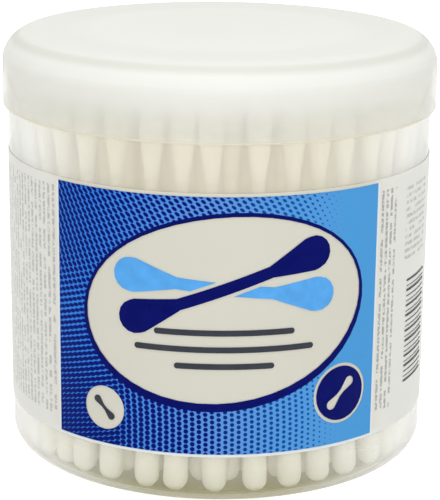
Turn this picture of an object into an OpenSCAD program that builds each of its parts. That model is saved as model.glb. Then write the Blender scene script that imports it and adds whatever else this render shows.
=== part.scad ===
// Round clear tub of cotton swabs with a slip-on milky lid and a wrap-round label.
// The origin is the centre of the base, +Z is up and the label's front faces -Y.
// Angles round the tub are counted from the front, positive towards +X.

/* [Tub] */
// Outer diameter of the tub's wall
tub_d = 83; // [76:0.5:96]
// Thickness of the tub's wall
tub_wall = 1; // [0.8:0.05:1.4]
// Thickness of the tub's floor
floor_t = 1; // [0.7:0.05:1.6]
// Height of the floor's underside above the foot
floor_lift = 0.4; // [0.2:0.1:1]
// Radius of the corner between wall and base
base_round = 3.8; // [2.5:0.1:5]
// Radius of the corner between wall and floor inside
inner_round = 2; // [1:0.1:2]
// Width of the flat foot that the tub stands on
foot_w = 1.6; // [1:0.1:3]
// Diameter of the dimple that the moulding gate leaves under the floor
gate_d = 7; // [4:0.5:12]
// Depth of the gate dimple
gate_depth = 0.3; // [0.1:0.05:0.4]
// Free height between the swabs and the tub's rim
head_room = 4; // [2:0.5:8]
// Height of the stepped-in neck that the lid slips over
neck_h = 10; // [8:0.5:12]
// How far the neck steps in from the wall
neck_step = 0.4; // [0.35:0.05:0.5]
// How far the snap ring stands out of the neck
snap_out = 0.3; // [0.15:0.05:0.35]
// Height of the snap ring
snap_h = 0.9; // [0.6:0.1:1.4]
// Distance of the snap ring below the rim
snap_drop = 6.2; // [5:0.1:6.8]

/* [Lid] */
// Thickness of the lid's skirt
lid_wall = 0.85; // [0.7:0.05:1.2]
// Thickness of the lid's top panel
lid_panel = 1; // [0.7:0.05:1.3]
// Height of the lid's top above the tub's rim
lid_rise = 3.3; // [2.8:0.1:5]
// How far the lid's skirt reaches down past the neck
skirt_over = 0.8; // [0.4:0.1:2]
// Radius of the lid's outer top corner
lid_round = 6; // [4:0.1:6.2]
// Height of the eased corner inside the lid, beside the tub's rim
lid_ease = 1.2; // [0.6:0.1:1.6]
// Radial clearance between the lid's skirt and the tub's wall
lid_gap = 0.15; // [0.1:0.05:0.3]
// How far the snap bead stands in from the skirt
bead_in = 0.15; // [0.1:0.05:0.2]
// Height of the snap bead
bead_h = 0.8; // [0.5:0.1:1.2]
// Thickness of the sealing rib that hangs inside the tub's mouth
rib_t = 0.8; // [0.6:0.1:1.2]
// Length of the sealing rib below its seat on the rim
rib_l = 1.6; // [1:0.1:2.4]
// Radial clearance between the sealing rib and the tub's mouth
rib_gap = 0.3; // [0.2:0.05:0.6]

/* [Swabs] */
// Most swabs in the tub
swab_count = 200; // [20:10:240]
// Length of a swab
swab_l = 74; // [70:0.5:86]
// Largest diameter of a cotton tip
tip_d = 4.6; // [4.2:0.1:5.6]
// Length of a cotton tip
tip_l = 15; // [11:0.5:18]
// Diameter of the flat spot at the end of a cotton tip
tip_flat = 1.4; // [1:0.1:2]
// Thickness of the cotton where a tip ends on the stick
tip_edge = 0.3; // [0.15:0.05:0.6]
// Diameter of a stick
stick_d = 2.3; // [1.8:0.1:2.8]
// Depth of a stick's end in its cotton tip
stick_in = 12; // [8:0.5:13]
// Radial clearance of a stick in its cotton tip
stick_gap = 0.03; // [0.02:0.01:0.06]
// Clearance between neighbouring swabs, and to the tub
swab_gap = 0.1; // [0.05:0.05:0.3]
// Share of its places that the outermost ring of swabs fills
outer_fill = 0.76; // [0.6:0.02:0.9]
// Share of its places that each inner ring of swabs fills
inner_fill = 0.965; // [0.7:0.005:0.97]
// How far a swab of the outermost ring may stand in from the wall
outer_play = 0.5; // [0.1:0.1:1.2]
// How far a swab of an inner ring may stand in from its ring
inner_play = 0.08; // [0.05:0.01:0.3]
// Seed of the random places
swab_seed = 7; // [1:1:99]

/* [Label] */
// Height of the label's lower edge above the ground
label_z = 9.7; // [7:0.1:12]
// Gap between the label's upper edge and the lid
label_to_lid = 8.9; // [4:0.1:14]
// Thickness of the label film
label_t = 0.15; // [0.1:0.01:0.2]
// Clearance of the label film on the wall, and of the ink on the film
film_gap = 0.03; // [0.02:0.01:0.05]
// Gap where the film's two ends meet at the back
seam_gap = 0.4; // [0.2:0.1:2]
// Thickness of the ink layers
ink_t = 0.08; // [0.06:0.01:0.12]

/* [Front print] */
// White border above and below the blue panel
panel_border = 0.6; // [0.3:0.1:1.5]
// Width of the oval in the drawing, which sets the panel's width. The sizes that follow are the
// drawing's, and it is scaled to fill the panel's height.
oval_wide = 55.3; // [48:0.1:60]
// Height of the oval
oval_tall = 37.8; // [32:0.1:42]
// Width of the deep blue field at the panel's left
deep_w = 18; // [12:0.5:24]
// Width of the sky blue field at the panel's right
sky_w = 24; // [16:0.5:28]
// Distance of the oval's widest point from the panel's right edge
oval_right = 3.4; // [2:0.1:8]
// Distance of the oval's widest point from the panel's left edge
oval_left = 6.3; // [1:0.1:12]
// Blue margin above the oval
oval_above = 2.8; // [1:0.1:6]
// Blue margin below the oval
oval_below = 8.3; // [6:0.1:14]
// Tilt of the oval, right side up
oval_tilt = 7; // [0:0.5:10]
// Width of the oval's dark outline at its top
ring_thin = 0.8; // [0.5:0.1:1.2]
// Width of the oval's dark outline at its bottom
ring_thick = 1.6; // [1:0.1:2]
// Diameter of the white badge at the left
white_badge_d = 8.5; // [7:0.1:10]
// Gap between the white badge and the oval
white_badge_gap = 2.4; // [0.5:0.1:6]
// Where along the oval's outline the white badge sits, in degrees
white_badge_turn = 220; // [210:0.5:250]
// Diameter of the dark badge at the right
dark_badge_d = 10.6; // [9:0.1:11]
// Width of the white ring round the dark badge
dark_badge_rim = 0.6; // [0.4:0.1:1]
// Gap between the dark badge's white ring and the oval
dark_badge_gap = 0.5; // [0.2:0.1:3]
// Where along the oval's outline the dark badge sits, in degrees
dark_badge_turn = 309.5; // [300:0.5:318]

/* [Swab sign] */
// Distance of the sign's swabs from the oval's left and right ends
sign_side = 6.8; // [4:0.1:12]
// Diameter of their cotton tips
sign_tip_d = 6.4; // [4:0.1:8]
// Length of their cotton tips
sign_tip_l = 12; // [8:0.5:14]
// Width of their sticks
sign_stick_w = 2.2; // [1:0.1:3]
// Room between the swabs' upper tips and the oval's outline
sign_above = 2.6; // [1:0.1:5]
// Height of the crossing above the oval's centre
sign_up = 4.6; // [2:0.1:7]
// Distance of the first bar below the crossing
bars_down = 8.3; // [6:0.1:12]
// Clear margin where the light swab passes behind the dark one
sign_margin = 0.7; // [0.4:0.1:1.2]
// Thickness of the plain bars under the sign
bar_h = 1.1; // [0.6:0.1:1.6]
// Distance between the plain bars
bar_step = 3.2; // [2.5:0.1:4]

/* [Side print] */
// Distance of the first stripe from the panel's right edge
stripe_from = 9.7; // [6:0.1:16]
// Height of the stripes' lower end above the label's lower edge
stripe_z = 17; // [8:0.5:24]
// Length of the stripes
stripe_l = 18; // [10:0.5:24]
// Number of stripes
stripe_count = 12; // [4:1:20]
// Distance between the stripes along the wall
stripe_step = 0.9; // [0.8:0.05:1.2]

/* [Hidden] */

// A rounded arc is drawn with this many steps
arc_steps = 8;
// The lead-in slopes of the snap ring and bead are this share of their height
slope_share = 0.35;

tub_r = tub_d / 2;
mouth_r = tub_r - tub_wall;
floor_z = floor_lift + floor_t;
rim_z = floor_z + swab_gap + swab_l + head_room;
neck_z = rim_z - neck_h;
neck_r = tub_r - neck_step;
snap_z = rim_z - snap_drop;
foot_r = tub_r - base_round;

skirt_r = tub_r + lid_gap;
lid_r = skirt_r + lid_wall;
lid_top = rim_z + lid_rise;
lid_low = neck_z - skirt_over;
rib_out_r = mouth_r - rib_gap;
rib_in_r = rib_out_r - rib_t;
bead_z = snap_z - snap_h / 2 - bead_h - lid_gap;

label_h = lid_low - label_to_lid - label_z;
label_in_r = tub_r + film_gap;
label_r = label_in_r + label_t;
ink_in_r = label_r + film_gap;
ink_r = ink_in_r + ink_t;

panel_z = label_z + panel_border;
panel_h = label_h - 2 * panel_border;
// The front print grows and shrinks with the panel's height
drawn_h = oval_below + oval_tall + oval_above;
panel_w = oval_left + oval_wide + oval_right;
print_scale = panel_h / drawn_h;
panel_half = angle_of(panel_w / 2 * print_scale);
deep_end = angle_of(deep_w * print_scale) - panel_half;
sky_start = panel_half - angle_of(sky_w * print_scale);

tip_r = tip_d / 2;
tip_z = floor_z + swab_gap + tip_r;
ring_pitch = tip_d + swab_gap + inner_play;
outer_ring_r = mouth_r - tip_r - swab_gap;

// Spare room after each front swab of the outermost ring, in shares of the mean.
// The lists run from the left to the right of the front, at the swabs' two ends.
front_low = [0.8, 0.4, 0.4, 1.2, 1.9, 0.6, 1.7, 1.8, 1.4, 1.0, 1.0, 1.7];
front_top = [0.8, 0.8, 1.2, 1.6, 1.4, 0.7, 0.1, 2.6, 1.1, 0.1, 0.5, 1.4];
front_start = [-66.5, -67.5];

// Angle in degrees of a length along the label
function angle_of(w) = w / label_r * 180 / PI;
function total(v) = [for (i = 0, s = 0; i <= len(v); s = s + (i < len(v) ? v[i] : 0), i = i + 1) s][len(v)];
function running(v) = [for (i = 0, s = 0; i < len(v); s = s + v[i], i = i + 1) s];
// Points of an arc from angle a to angle b
function arc(c, r, a, b, n = arc_steps) =
    [for (i = [0:n]) c + r * [cos(a + (b - a) * i / n), sin(a + (b - a) * i / n)]];
// Place at angle a from the front and height z
function spot(r, a, z) = [r * sin(a), -r * cos(a), z];

// Rings of swabs, counted from the wall inwards
function ring_r(k) = k == 0 ? outer_ring_r : outer_ring_r - outer_play + inner_play - k * ring_pitch;
function ring_play(k) = k == 0 ? outer_play : inner_play;
function ring_least(k) = 2 * asin(min(1, (tip_d + swab_gap) / 2 / (ring_r(k) - ring_play(k))));
function ring_places(k) =
    ring_r(k) - ring_play(k) < (tip_d + swab_gap) / 2 ? 0
    : floor((k == 0 ? outer_fill : inner_fill) * 360 / ring_least(k));
ring_total = floor((outer_ring_r - outer_play) / ring_pitch) + 1;
ring_places = [for (k = [0:ring_total - 1]) ring_places(k)];
ring_before = running(ring_places);
function ring_n(k) = max(0, min(ring_places[k], swab_count - ring_before[k]));

// Spare room after each swab of ring k, in shares of the mean, at end 0 below or 1 above
function spares(k, end) =
    let (hand = k > 0 ? [] : end == 0 ? front_low : front_top,
         free = rands(0.15, 1, max(1, ring_n(k) - len(hand)), swab_seed + 10 * k),
         turn = rands(0.8, 1.2, len(free), swab_seed + 10 * k + 5),
         mixed = [for (i = [0:len(free) - 1]) end == 0 ? free[i] : free[i] * turn[i]],
         left = (ring_n(k) - total(hand)) / total(mixed))
    concat(hand, mixed * left);
function ring_angles(k, end) =
    let (n = ring_n(k), least = ring_least(k), spare = 360 / n - least, sums = running(spares(k, end)),
         start = k == 0 ? front_start[end] : rands(0, 360, 1, swab_seed + k)[0])
    [for (i = [0:n - 1]) start + i * least + spare * sums[i]];
function ring_radii(k, end) =
    let (in = rands(0, ring_play(k), max(1, ring_n(k)), swab_seed + 20 * k + end))
    [for (v = in) ring_r(k) - v];
// Each swab is the pair of the middles of its two round tip ends
function swab_ends(k) =
    let (a0 = ring_angles(k, 0), a1 = ring_angles(k, 1), r0 = ring_radii(k, 0), r1 = ring_radii(k, 1))
    [for (i = [0:ring_n(k) - 1])
        let (p = spot(r0[i], a0[i], tip_z), q = spot(r1[i], a1[i], tip_z), side = norm(q - p),
             rise = sqrt(pow(swab_l - tip_d, 2) - side * side))
        [p, q + [0, 0, rise]]];
swabs = [for (k = [0:ring_total - 1]) if (ring_n(k) > 0) each swab_ends(k)];

// Half the width of a cotton tip at s millimetres from its round end
function tip_half(s) =
    s < tip_r ? sqrt(tip_r * tip_r - pow(tip_r - s, 2))
    : let (t = (s - tip_r) / (tip_l - tip_r), neck = stick_d / 2 + tip_edge)
      neck + (tip_r - neck) * (0.5 + 0.5 * cos(180 * pow(t, 1.5)));

// Stands the children on the line from p to q, with p at their origin
module along(p, q) {
    d = q - p;
    translate(p) rotate([0, acos(d.z / norm(d)), atan2(d.y, d.x)]) children();
}

module swab_stick() {
    $fn = 20;
    translate([0, 0, tip_l - stick_in - tip_r])
        cylinder(d = stick_d, h = swab_l - 2 * (tip_l - stick_in));
}

// One cotton tip, its round end at the origin and its stick upwards
module swab_tip() {
    $fn = 20;
    bore = stick_d / 2 + stick_gap;
    end = tip_l - stick_in;
    dome = [for (share = [0.2, 0.55]) share * tip_r];
    taper = [for (i = [0:4]) tip_r + (tip_l - tip_r) * i / 4];
    side = [for (s = concat(dome, taper)) [tip_half(s), s]];
    translate([0, 0, -tip_r]) rotate_extrude()
        polygon(concat([[0, 0], [tip_flat / 2, 0]], side, [[bore, tip_l], [bore, end], [0, end]]));
}

module swab_sticks() {
    color("#f2f0ea") for (s = swabs) along(s[0], s[1]) swab_stick();
}

module lower_tips() {
    color("#f4f1e6") for (s = swabs) along(s[0], s[1]) swab_tip();
}

module upper_tips() {
    color("#f4f1e6") for (s = swabs) along(s[1], s[0]) swab_tip();
}

// Clear moulded tub: foot ring, lifted floor, straight wall, stepped neck and snap ring
module tub() {
    slope = snap_h * slope_share;
    outline = concat(
        [[0, floor_lift], [foot_r - foot_w - floor_lift, floor_lift], [foot_r - foot_w, 0]],
        arc([foot_r, base_round], base_round, -90, 0),
        [[tub_r, neck_z - neck_step], [neck_r, neck_z],
         [neck_r, snap_z - snap_h / 2], [neck_r + snap_out, snap_z - snap_h / 2 + slope],
         [neck_r + snap_out, snap_z + snap_h / 2 - slope], [neck_r, snap_z + snap_h / 2],
         [neck_r, rim_z], [mouth_r, rim_z]],
        arc([mouth_r - inner_round, floor_z + inner_round], inner_round, 0, -90),
        [[0, floor_z]]);
    color("#dfe9e4", 0.4) difference() {
        rotate_extrude($fn = 120) polygon(outline);
        translate([0, 0, floor_lift - gate_depth]) cylinder(d = gate_d, h = 2 * gate_depth, $fn = 48);
    }
}

// Milky lid: flat top, rounded corner thickened over the rim, skirt with a snap bead, sealing rib.
// Inside, the corner is eased beside the tub's rim and rounded above the rib.
module lid() {
    slope = bead_h * slope_share;
    corner = lid_r - lid_round;
    inner = lid_round - lid_panel;
    seat_r = neck_r + (skirt_r - neck_r) / 5;
    outline = concat(
        [[0, lid_top]],
        arc([corner, lid_top - lid_round], lid_round, 90, 0),
        [[lid_r, lid_low], [skirt_r, lid_low],
         [skirt_r, bead_z], [skirt_r - bead_in, bead_z + slope],
         [skirt_r - bead_in, bead_z + bead_h - slope], [skirt_r, bead_z + bead_h],
         [skirt_r, rim_z - lid_ease], [seat_r, rim_z], [rib_out_r, rim_z], [rib_out_r, rim_z - rib_l],
         [rib_in_r, rim_z - rib_l]],
        arc([corner, lid_top - lid_round], inner, acos((rib_in_r - corner) / inner), 90),
        [[0, lid_top - lid_panel]]);
    color("#f1f2ec", 0.7) rotate_extrude($fn = 120) polygon(outline);
}

// White film wrapped once round the wall, its ends meeting at the back
module label() {
    half = 180 - angle_of(seam_gap) / 2;
    color("#f3f3f1") sector(label_in_r, label_r, -half, half, label_z, label_h);
}

// Part of a tube between two angles from the front
module sector(r_in, r_out, a, b, z, h) {
    translate([0, 0, z]) rotate(a - 90)
        rotate_extrude(angle = b - a, $fn = 120) translate([r_in, 0]) square([r_out - r_in, h]);
}

// A straight prism that cuts an outline into the ink. The points are the drawing's millimetres
// along the wall and up from middle, which counts from the panel's lower left corner.
module stencil(middle, points) {
    rotate(angle_of(middle.x * print_scale) - panel_half)
        translate([0, 0, panel_z + middle.y * print_scale]) rotate([90, 0, 0])
            linear_extrude(ink_r + 1) polygon([for (p = points)
                [ink_r * sin(angle_of(p.x * print_scale)), p.y * print_scale]]);
}

// A thin layer of ink of that outline on the label
module ink(middle, points) {
    intersection() {
        stencil(middle, points);
        translate([0, 0, label_z]) difference() {
            cylinder(r = ink_r, h = label_h, $fn = 120);
            translate([0, 0, -1]) cylinder(r = ink_in_r, h = label_h + 2, $fn = 120);
        }
    }
}

function turned(p, a) = [p.x * cos(a) - p.y * sin(a), p.x * sin(a) + p.y * cos(a)];
function shifted(points, by) = [for (p = points) p + by];
// Outline of an ellipse, turned by angle a
function ellipse(w, h, a = 0, n = 48) =
    [for (i = [0:n - 1]) turned([w / 2 * cos(360 * i / n), h / 2 * sin(360 * i / n)], a)];
function disc(d) = ellipse(d, d);
// Outline of a bar with round ends
function bar(l, w, a = 0, n = 8) =
    let (half = (l - w) / 2)
    [for (p = concat(arc([half, 0], w / 2, -90, 90, n), arc([-half, 0], w / 2, 90, 270, n))) turned(p, a)];
// Outline of one of the sign's swabs, grown by a margin
function sign_swab(a, grow = 0) =
    let (half = sign_l / 2 - sign_tip_d / 2, r = sign_tip_d / 2 + grow, stick = sign_stick_w / 2 + grow,
         inner = sign_l / 2 - sign_tip_l)
    [for (p = concat(
        [[inner, -stick], [half - 1, -r]], arc([half, 0], r, -90, 90), [[half - 1, r], [inner, stick]],
        [[-inner, stick], [1 - half, r]], arc([-half, 0], r, 90, 270), [[1 - half, -r], [-inner, -stick]]))
        turned(p, a)];

// The tilted oval's two axes, from its width and height
function oval_axis(along, other) =
    sqrt((pow(along * cos(oval_tilt), 2) - pow(other * sin(oval_tilt), 2)) / cos(2 * oval_tilt));
oval_w = oval_axis(oval_wide, oval_tall);
oval_h = oval_axis(oval_tall, oval_wide);
oval_middle = [oval_left + oval_wide / 2, oval_below + oval_tall / 2];
// The point that far outside the oval, at that place along its outline
function beside_oval(turn, gap) =
    let (out = [oval_h * cos(turn), oval_w * sin(turn)])
    oval_middle
    + turned([oval_w * cos(turn), oval_h * sin(turn)] / 2 + gap * out / norm(out), oval_tilt);
oval_outer = ellipse(oval_w, oval_h, oval_tilt);
oval_inner = shifted(
    ellipse(oval_w - 2 * ring_thin, oval_h - ring_thin - ring_thick, oval_tilt),
    [0, (ring_thick - ring_thin) / 2]);
white_badge = beside_oval(white_badge_turn, white_badge_gap + white_badge_d / 2);
dark_badge = beside_oval(dark_badge_turn, dark_badge_gap + dark_badge_rim + dark_badge_d / 2);
sign_l = oval_w - 2 * sign_side;
sign_half = (sign_l - sign_tip_d) / 2;
sign_room = oval_h / 2 * sqrt(1 - pow(2 * sign_half / oval_w, 2)) - sign_above - sign_tip_d / 2;
sign_slope = asin((sign_room - sign_up) / sign_half);
dark_badge_hole = disc(dark_badge_d + 2 * dark_badge_rim);

// A field of the blue panel between two angles, with windows for the oval and the badges
module panel_field(a, b) {
    difference() {
        sector(ink_in_r, ink_r, a, b, panel_z, panel_h);
        stencil(oval_middle, oval_outer);
        stencil(white_badge, disc(white_badge_d));
        stencil(dark_badge, dark_badge_hole);
    }
}

module panel_deep() { color("#16379c") panel_field(-panel_half, deep_end); }
module panel_mid() { color("#2f63c6") panel_field(deep_end, sky_start); }
module panel_sky() { color("#4f97dc") panel_field(sky_start, panel_half); }

// Dark outline of the oval, thicker below
module oval_ring() {
    color("#0a1560") difference() {
        ink(oval_middle, oval_outer);
        stencil(oval_middle, oval_inner);
    }
}

// Dark disc with a plain swab left white across it
module badge_dark() {
    color("#0a1560") difference() {
        ink(dark_badge, disc(dark_badge_d));
        stencil(dark_badge, small_swab(dark_badge_d * 0.72, 45));
    }
}

// Dark swab on the white disc
module badge_mark() {
    color("#23252f") ink(white_badge, small_swab(white_badge_d * 0.66, -45));
}

// Outline of a small swab of length l, turned by angle a
function small_swab(l, a) =
    let (r = l * 0.13, half = l / 2 - r, stick = r * 0.45)
    [for (p = concat(
        [[half - 2.2 * r, -stick]], arc([half, 0], r, -90, 90), [[half - 2.2 * r, stick]],
        [[2.2 * r - half, stick]], arc([-half, 0], r, 90, 270), [[2.2 * r - half, -stick]]))
        turned(p, a)];

// Dark swab of the sign
module sign_dark() {
    color("#0d1c78") ink(oval_middle, shifted(sign_swab(oval_tilt + sign_slope), [0, sign_up]));
}

// Light swab of the sign, interrupted where the dark one crosses it
module sign_light() {
    color("#4f97dc") difference() {
        ink(oval_middle, shifted(sign_swab(oval_tilt - sign_slope), [0, sign_up]));
        stencil(oval_middle, shifted(sign_swab(oval_tilt + sign_slope, sign_margin), [0, sign_up]));
    }
}

// Plain bars under the sign
module sign_bars() {
    lengths = [0.62, 0.8, 0.44];
    color("#2a3350") for (i = [0:len(lengths) - 1])
        ink(oval_middle, shifted(
            bar(lengths[i] * sign_l, bar_h, 0), [0, sign_up - bars_down - i * bar_step]));
}

// Plain upright stripes on the right side of the label
module side_stripes() {
    widths = [0.5, 0.25, 0.35];
    color("#4a4c52") for (i = [0:stripe_count - 1])
        let (a = panel_half + angle_of(stripe_from + i * stripe_step), w = angle_of(widths[i % len(widths)]))
            sector(ink_in_r, ink_r, a, a + w, label_z + stripe_z, stripe_l);
}

tub();
lid();
label();
panel_deep();
panel_mid();
panel_sky();
oval_ring();
badge_dark();
badge_mark();
sign_dark();
sign_light();
sign_bars();
side_stripes();
swab_sticks();
lower_tips();
upper_tips();
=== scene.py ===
# %% [markdown]
# # A clear tub of cotton swabs, dressed
#
# A round, clear plastic tub holds two hundred cotton swabs. It has a milky slip-on
# lid and a white label with a blue printed panel. The solids come packed from CAD.
# Here they get their surfaces, a camera and a plain studio.
#
# The cells run in this order: camera, shared helpers, tub and lid with their two
# plastics, the print on the label, the swabs, and last the floor and the lamps.

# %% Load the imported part
import math

import bmesh
import bpy
import numpy as np
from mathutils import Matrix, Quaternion, Vector


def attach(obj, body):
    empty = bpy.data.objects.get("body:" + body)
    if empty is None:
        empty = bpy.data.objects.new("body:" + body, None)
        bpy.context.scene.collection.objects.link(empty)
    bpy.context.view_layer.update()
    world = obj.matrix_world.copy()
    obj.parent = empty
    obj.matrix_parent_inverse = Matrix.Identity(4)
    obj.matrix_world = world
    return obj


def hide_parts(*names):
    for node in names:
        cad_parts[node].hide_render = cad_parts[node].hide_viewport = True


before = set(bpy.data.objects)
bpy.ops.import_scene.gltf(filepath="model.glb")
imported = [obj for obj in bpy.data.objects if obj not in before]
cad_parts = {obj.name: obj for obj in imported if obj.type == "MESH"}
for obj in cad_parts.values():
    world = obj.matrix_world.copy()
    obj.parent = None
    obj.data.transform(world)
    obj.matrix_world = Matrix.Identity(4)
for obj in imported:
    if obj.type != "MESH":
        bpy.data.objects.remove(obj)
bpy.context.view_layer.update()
MM = 0.001


# %% [markdown]
# ## Camera
#
# The photograph looks down a little on the tub with a long lens. A long lens keeps
# the sides upright and the ellipses of the rims flat. A camera can be set by eye, but
# then each change of its lens spoils its place, and the other way round. So lens,
# place and tilt were solved together, from the widths of the lid and of the label.

# %% Camera
FRAME_HIGH = 500
LENS_PIXELS = 1833.6
SENSOR = 36
CAMERA_PLACE = Vector((0.43, -356.8, 138.4)) * MM
LOOKING_DOWN = math.radians(15.753)
ROLL = math.radians(0.656)

camera_data = bpy.data.cameras.new("camera")
camera_data.sensor_width = SENSOR
camera_data.lens = LENS_PIXELS / FRAME_HIGH * SENSOR
camera_data.clip_start, camera_data.clip_end = 0.01, 20
camera = bpy.data.objects.new("camera", camera_data)
bpy.context.scene.collection.objects.link(camera)
camera.rotation_mode = "QUATERNION"
camera.location = CAMERA_PLACE
tilt = Quaternion((1, 0, 0), math.pi / 2 - LOOKING_DOWN)
camera.rotation_quaternion = tilt @ Quaternion((0, 0, 1), ROLL)
bpy.context.scene.camera = camera
print("lens:", round(camera_data.lens, 1), "mm")

# %% [markdown]
# ## Building nodes from code
#
# A material is a small network of nodes. It can be drawn by hand in the editor, but
# code can be read, repeated and changed in one place. A few helpers keep it short.
# One places a node and fills its sockets with values or links. Others stand for a
# step of arithmetic, and for an empty group that several materials can share.

# %% Placing nodes
def fill(tree, node, sockets):
    for key, value in sockets.items():
        if isinstance(value, bpy.types.NodeSocket):
            tree.links.new(value, node.inputs[key])
        else:
            node.inputs[key].default_value = value
    return node


def put(tree, kind, sockets=None, **settings):
    """A new node of a kind, with settings and with values or links in its sockets."""
    node = tree.nodes.new(kind)
    for name, value in settings.items():
        setattr(node, name, value)
    return fill(tree, node, sockets or {})


# %% Arithmetic
def sums(tree, operation, *values, clamp=False):
    sockets = dict(enumerate(values))
    node = put(tree, "ShaderNodeMath", sockets, operation=operation, use_clamp=clamp)
    return node.outputs[0]


def product(tree, first, *others):
    for other in others:
        first = sums(tree, "MULTIPLY", first, other)
    return first


# %% A group to share
def effect(name, takes, gives):
    """An empty shader node group with named sockets.

    takes is {name: default} and gives is {name: type of socket}.
    """
    tree = bpy.data.node_groups.new(name, "ShaderNodeTree")
    for socket, value in takes.items():
        kind = "NodeSocketColor" if isinstance(value, tuple) else "NodeSocketFloat"
        tree.interface.new_socket(
            socket, in_out="INPUT", socket_type=kind
        ).default_value = value
    for socket, kind in gives.items():
        tree.interface.new_socket(socket, in_out="OUTPUT", socket_type=kind)
    return tree, put(tree, "NodeGroupInput").outputs, put(tree, "NodeGroupOutput")


# %% [markdown]
# ## Where on the tub
#
# Label, print and lid are all turned round one upright axis. Their patterns could be
# unrolled with a UV map each. One shared group does it for all of them at once: it
# turns Object coordinates into an angle from the front, a height and a distance from
# the axis. It also gives the level direction away from the axis.

# %% Angle, height, radius and outward direction
def here(tree):
    """The place of each point of a piece. A piece's mesh is drawn in metres."""
    return put(tree, "ShaderNodeTexCoord").outputs["Object"]


tub_place, _, out = effect(
    "tub place",
    {},
    {
        "Angle": "NodeSocketFloat",
        "Height": "NodeSocketFloat",
        "Radius": "NodeSocketFloat",
        "Outward": "NodeSocketVector",
    },
)
at = put(tub_place, "ShaderNodeSeparateXYZ", {0: here(tub_place)}).outputs
angle = sums(tub_place, "ARCTAN2", at["X"], product(tub_place, at["Y"], -1.0))
squares = [product(tub_place, at[axis], at[axis]) for axis in ("X", "Y")]
radius = sums(tub_place, "SQRT", sums(tub_place, "ADD", *squares))
level = put(tub_place, "ShaderNodeCombineXYZ", {0: at["X"], 1: at["Y"]}).outputs[0]
outward = put(tub_place, "ShaderNodeVectorMath", {0: level}, operation="NORMALIZE")
for name, value in {
    "Angle": product(tub_place, angle, 180 / math.pi),
    "Height": sums(tub_place, "DIVIDE", at["Z"], MM),
    "Radius": sums(tub_place, "DIVIDE", radius, MM),
    "Outward": outward.outputs[0],
}.items():
    tub_place.links.new(value, out.inputs[name])
print("shared group:", tub_place.name)

# %% [markdown]
# ## Handled plastic
#
# Moulded plastic is never quite even: its gloss varies with handling, and its skin
# has a faint wave from the mould. A scan of a real one would be more exact, but a
# noise is enough at this size. One group gives both effects, for the tub, the lid,
# the inks, the label film and the sticks, each with its own amounts.

# %% Handled plastic
def noise(tree, scale, **sockets):
    """Soft clouds of 0 to 1 through space, finer with a larger scale."""
    sockets = {"Vector": here(tree), "Scale": scale, **sockets}
    return put(tree, "ShaderNodeTexNoise", sockets).outputs["Fac"]


handled, taken, out = effect(
    "handled plastic",
    {"Scale": 90.0, "Roughness": 0.2, "Spread": 0.08, "Wave": 0.02, "Grain": 0.1},
    {"Roughness": "NodeSocketFloat", "Normal": "NodeSocketVector"},
)
GRAIN_SCALE, WAVE_REACH = 2600.0, 0.002
smudge = noise(handled, taken["Scale"], Detail=4.0, Roughness=0.6)
grain = noise(handled, GRAIN_SCALE, Detail=2.0)
centred = sums(handled, "SUBTRACT", smudge, 0.5)
spread = product(handled, taken["Spread"], 2.0)
rough = sums(
    handled, "MULTIPLY_ADD", centred, spread, taken["Roughness"], clamp=True
)
relief = sums(handled, "MULTIPLY_ADD", grain, taken["Grain"], smudge)
bump = put(
    handled,
    "ShaderNodeBump",
    {"Strength": taken["Wave"], "Distance": WAVE_REACH, "Height": relief},
)
handled.links.new(rough, out.inputs["Roughness"])
handled.links.new(bump.outputs[0], out.inputs["Normal"])
print("shared group:", handled.name)

# %% [markdown]
# ## Turned shells
#
# Tub and lid are moulded bodies of revolution. The CAD meshes show flat steps in
# their round corners. So both are drawn again from the same outlines, with more steps
# in the corners, and spun round the axis. The Spin tool would do it too, but rings
# made in code are closed at the poles without any doubles to merge.

# %% Turning an outline
def arc(r, z, size, first, last, steps=8):
    """Points of a rounded corner about (r, z), between two angles in degrees."""
    return [
        (r + size * math.cos(a), z + size * math.sin(a))
        for a in (
            math.radians(first + (last - first) * i / steps) for i in range(steps + 1)
        )
    ]


def new_object(name, mesh, shade_angle=35):
    made = bpy.data.objects.new(name, mesh)
    bpy.context.scene.collection.objects.link(made)
    mesh.shade_smooth()
    mesh.set_sharp_from_angle(angle=math.radians(shade_angle))
    return made


def turn(name, outline, steps=180):
    """A closed solid from an outline that starts and ends on the axis.

    The outline's points are (radius, height) in mm.
    """
    bm = bmesh.new()
    rings = []
    for r, z in outline:
        if r == 0:
            rings.append([bm.verts.new((0, 0, z * MM))] * steps)
        else:
            turns = (2 * math.pi * i / steps for i in range(steps))
            rings.append(
                [
                    bm.verts.new((r * math.cos(a) * MM, r * math.sin(a) * MM, z * MM))
                    for a in turns
                ]
            )
    for low, high in zip(rings, rings[1:]):
        for i in range(steps):
            j = (i + 1) % steps
            corners = list(dict.fromkeys((low[i], low[j], high[j], high[i])))
            bm.faces.new(corners)
    bmesh.ops.recalc_face_normals(bm, faces=bm.faces)
    mesh = bpy.data.meshes.new(name)
    bm.to_mesh(mesh)
    bm.free()
    print(f"{name}: {len(mesh.polygons)} faces")
    return new_object(name, mesh)


# %% [markdown]
# ## Tub
#
# The outline runs from the middle of the underside, with its small gate dimple, out
# over the foot ring and up the wall. Then come the stepped neck with its snap ring
# and the rim, and the inside leads back down to the middle of the floor. Neck and
# foot could be cut out of a plain cup, but an outline shows each size in its place.

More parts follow.
